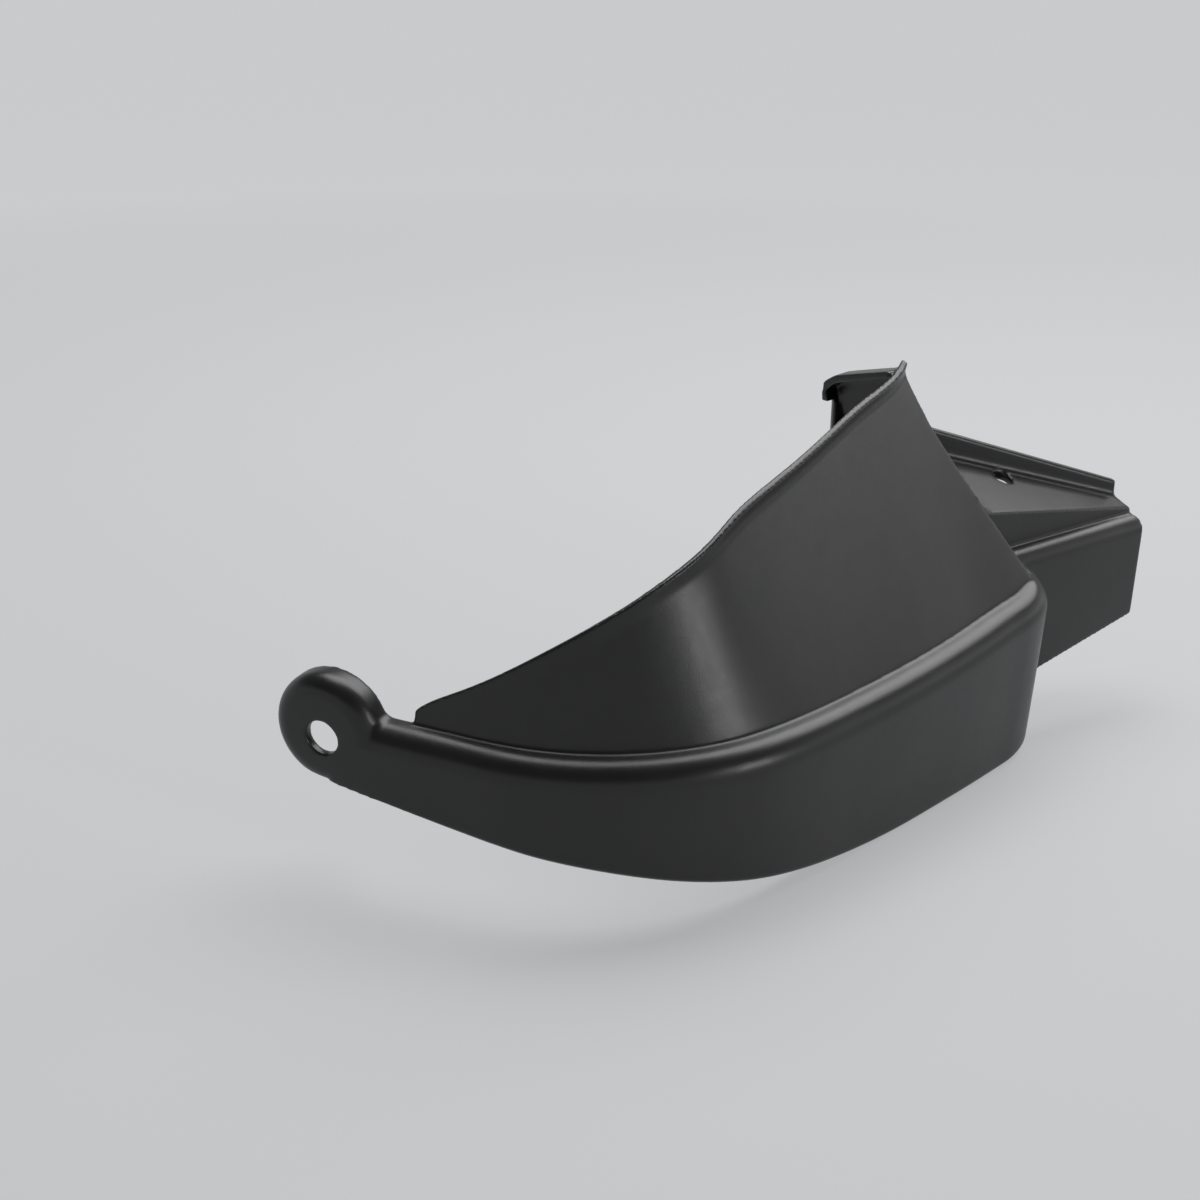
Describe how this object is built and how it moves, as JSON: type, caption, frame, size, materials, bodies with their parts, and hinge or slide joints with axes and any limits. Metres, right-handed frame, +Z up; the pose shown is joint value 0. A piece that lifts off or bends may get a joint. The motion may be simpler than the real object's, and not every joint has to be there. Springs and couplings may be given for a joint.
{
  "type": "motorcycle hand guard",
  "caption": "Moulded guard for a rider's right hand: a curved band with a raised, leaning shield, an eye lobe for the bar end and a screw bracket at the inner end.",
  "frame": {"origin": "centre of the bar-end eye on the ear's outer face", "axes": "+X outward along the handlebar, +Y forward in the riding direction, +Z up"},
  "size_m": [0.2116, 0.1902, 0.1164],
  "materials": {
    "moulded_plastic": "satin black with a fine moulded grain"
  },
  "bodies": {
    "root": {"hand_guard": "moulded_plastic"}
  },
  "joints": []
}
